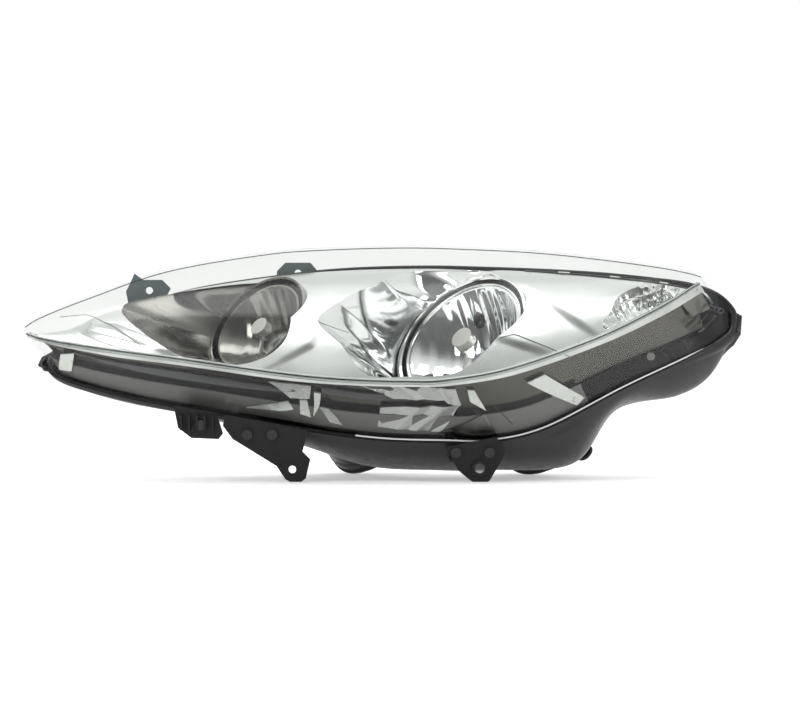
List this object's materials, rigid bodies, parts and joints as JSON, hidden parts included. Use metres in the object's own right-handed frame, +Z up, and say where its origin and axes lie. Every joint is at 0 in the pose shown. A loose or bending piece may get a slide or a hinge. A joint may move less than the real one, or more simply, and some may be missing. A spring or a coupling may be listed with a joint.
{
  "type": "car headlight assembly",
  "caption": "Swept-back car headlight with a clear domed lens, chrome bezel, two beam reflectors, indicator and a black housing.",
  "frame": {"origin": "middle of the footprint, on the surface that the lamp rests on", "axes": "+X from the inner point of the lens to its outer end, +Y from the near edge of the lens to the back, +Z up; the beam leaves along about (-0.56, -0.60, 0.57)"},
  "size_m": [0.6639, 0.2571, 0.218],
  "materials": {
    "housing_plastic": "fine-textured moulded polypropylene, satin black",
    "lens_clear": "clear hard-coated polycarbonate",
    "indicator_crystal": "clear ribbed crystal cover",
    "sealant": "matt black sealant bead",
    "bezel_chrome": "satin aluminised plastic",
    "reflector_chrome": "bright aluminised bowl",
    "zinc_steel": "zinc-plated steel",
    "seal_rubber": "soft matt black rubber",
    "pin_brass": "tinned brass",
    "nylon": "natural nylon, satin",
    "carrier_plastic": "glass-filled nylon, satin grey",
    "bulb_glass": "clear quartz glass",
    "plug_plastic": "smooth black plastic",
    "amber_glass": "amber coated glass"
  },
  "bodies": {
    "housing": {"housing_shell": "housing_plastic", "outer_lens": "lens_clear", "lens_sealant": "sealant", "chrome_bezel": "bezel_chrome", "bezel_screws": "zinc_steel", "inner_bracket": "housing_plastic", "lower_bracket": "housing_plastic", "ribbed_bracket": "housing_plastic", "upper_inner_ear": "housing_plastic", "upper_outer_ear": "housing_plastic", "bracket_screws": "zinc_steel", "leveller_motor": "housing_plastic", "leveller_seal": "seal_rubber", "main_connector": "housing_plastic", "connector_pins": "pin_brass", "vent_cap": "housing_plastic", "aim_bush": "nylon", "yaw_pins": "zinc_steel", "indicator_reflector": "reflector_chrome", "indicator_lens": "indicator_crystal"},
    "reflectors": {"reflector_bridge": "carrier_plastic", "tilt_pin": "zinc_steel", "low_beam_reflector": "reflector_chrome", "low_beam_ring": "bezel_chrome", "low_beam_shield": "zinc_steel", "low_bulb_glass": "bulb_glass", "low_bulb_base": "zinc_steel", "low_bulb_plug": "plug_plastic", "high_beam_reflector": "reflector_chrome", "high_beam_shield": "zinc_steel", "high_bulb_glass": "bulb_glass", "high_bulb_base": "zinc_steel", "high_bulb_plug": "plug_plastic", "side_light_bulb": "bulb_glass", "side_light_holder": "plug_plastic"},
    "aim_yoke": {"aim_frame": "carrier_plastic"},
    "low_clip": {"low_bulb_clip": "zinc_steel"},
    "high_clip": {"high_bulb_clip": "zinc_steel"},
    "low_cap": {"low_beam_cap": "housing_plastic", "low_cap_seal": "seal_rubber"},
    "high_cap": {"high_beam_cap": "housing_plastic", "high_cap_seal": "seal_rubber"},
    "leveller_rod": {"leveller_rod": "nylon"},
    "height_knob": {"height_knob": "nylon"},
    "aim_rod": {"aim_rod": "nylon"},
    "aim_knob": {"aim_knob": "nylon"},
    "indicator_socket": {"indicator_holder": "plug_plastic", "indicator_bulb": "amber_glass"}
  },
  "joints": [
    {"name": "aim_yaw", "type": "hinge", "parent": "housing", "child": "aim_yoke", "pos_m": [-0.01807, 0.02088, 0.11426], "axis": [0.1175, 0.6274, 0.7698], "range_deg": [-1.5, 1.5]},
    {"name": "beam_tilt", "type": "hinge", "parent": "aim_yoke", "child": "reflectors", "pos_m": [-0.01983, 0.01147, 0.10271], "axis": [0.821, -0.4974, 0.2802], "range_deg": [-2, 2]},
    {"name": "low_clip_open", "type": "hinge", "parent": "reflectors", "child": "low_clip", "pos_m": [0.11156, 0.00695, 0.10584], "axis": [0.1175, 0.6274, 0.7698], "range_deg": [-80, 0]},
    {"name": "high_clip_open", "type": "hinge", "parent": "reflectors", "child": "high_clip", "pos_m": [-0.0826, -0.00348, 0.12448], "axis": [0.1175, 0.6274, 0.7698], "range_deg": [-80, 0]},
    {"name": "low_cap_pull", "type": "slide", "parent": "housing", "child": "low_cap", "axis": [0.5587, 0.5991, -0.5736], "range_m": [0, 0.045]},
    {"name": "high_cap_pull", "type": "slide", "parent": "housing", "child": "high_cap", "axis": [0.5587, 0.5991, -0.5736], "range_m": [0, 0.045]},
    {"name": "leveller_travel", "type": "slide", "parent": "housing", "child": "leveller_rod", "axis": [-0.5587, -0.5991, 0.5736], "range_m": [-0.0023, 0.0023]},
    {"name": "height_turn", "type": "hinge", "parent": "housing", "child": "height_knob", "pos_m": [0.03203, 0.09767, 0.10378], "axis": [-0.5587, -0.5991, 0.5736], "range_deg": [-92, 92]},
    {"name": "aim_travel", "type": "slide", "parent": "housing", "child": "aim_rod", "axis": [-0.5587, -0.5991, 0.5736], "range_m": [-0.0019, 0.0019]},
    {"name": "aim_turn", "type": "hinge", "parent": "housing", "child": "aim_knob", "pos_m": [0.08299, 0.04054, 0.01006], "axis": [-0.5587, -0.5991, 0.5736], "range_deg": [-92, 92]},
    {"name": "indicator_twist", "type": "hinge", "parent": "housing", "child": "indicator_socket", "pos_m": [0.26151, 0.04765, 0.12773], "axis": [-0.5587, -0.5991, 0.5736], "range_deg": [0, 45]}
  ],
  "couplings": [
    {"joint": "leveller_travel", "follows": "beam_tilt", "m_per_rad": 0.061},
    {"joint": "height_turn", "follows": "beam_tilt", "ratio": 45},
    {"joint": "aim_travel", "follows": "aim_yaw", "m_per_rad": -0.044},
    {"joint": "aim_turn", "follows": "aim_yaw", "ratio": 60}
  ]
}
